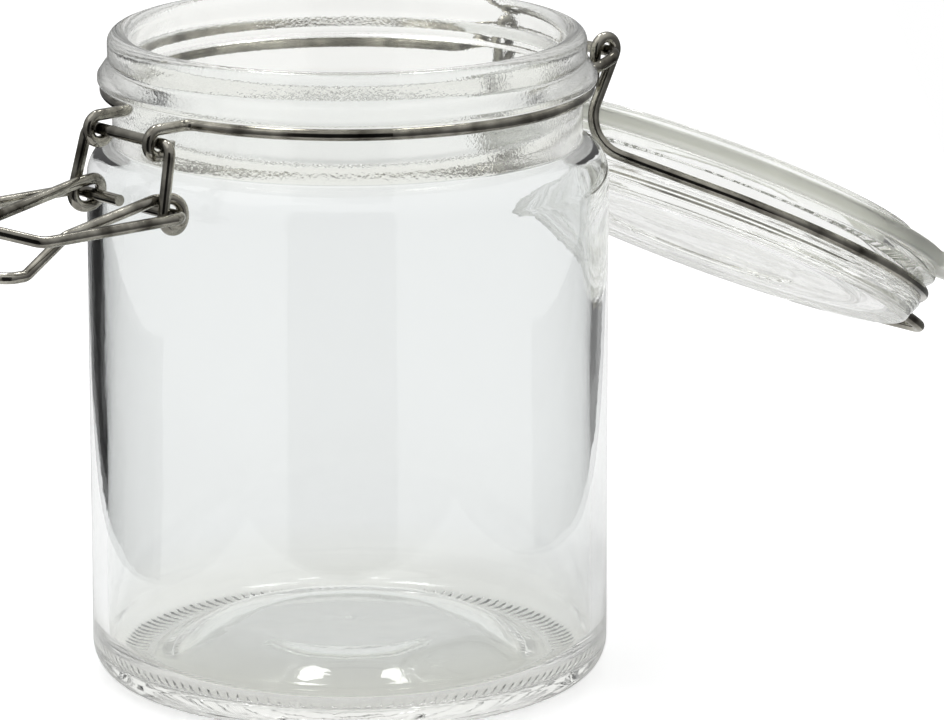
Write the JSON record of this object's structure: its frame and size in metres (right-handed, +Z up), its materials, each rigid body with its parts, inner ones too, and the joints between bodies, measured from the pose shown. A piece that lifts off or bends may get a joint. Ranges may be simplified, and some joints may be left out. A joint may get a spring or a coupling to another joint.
{
  "type": "clip-top glass jar",
  "caption": "Round clip-top glass storage jar, standing open: hinged glass lid with a tabbed seal ring hangs behind it, and a bent-wire toggle latch stands out in front.",
  "frame": {"origin": "centre of the ring the jar stands on", "axes": "+Z up along the jar's axis, -Y towards the latch, +Y towards the hinge and the open lid, +X completes a right-handed frame"},
  "size_m": [0.1, 0.2445, 0.1262],
  "materials": {
    "jar_glass": "clear, polished, faint ripple",
    "lid_glass": "clear, polished",
    "seal": "translucent pale silicone, satin",
    "wire": "bright drawn stainless wire"
  },
  "bodies": {
    "jar": {"glass_jar": "jar_glass", "neck_wire": "wire"},
    "lid": {"glass_lid": "lid_glass", "gasket": "seal", "lid_bail": "wire"},
    "lever": {"lever": "wire"},
    "clasp": {"clasp": "wire"}
  },
  "joints": [
    {"name": "lid_hinge", "type": "hinge", "parent": "jar", "child": "lid", "pos_m": [0, 0.0544, 0.117], "axis": [1, 0, 0], "range_deg": [0, 207.4]},
    {"name": "lever_pivot", "type": "hinge", "parent": "jar", "child": "lever", "pos_m": [0, -0.0527, 0.11245], "axis": [-1, 0, 0], "range_deg": [0, 45]},
    {"name": "clasp_pivot", "type": "hinge", "parent": "lever", "child": "clasp", "pos_m": [0, -0.0527, 0.0996], "axis": [-1, 0, 0], "range_deg": [0, 62]}
  ]
}
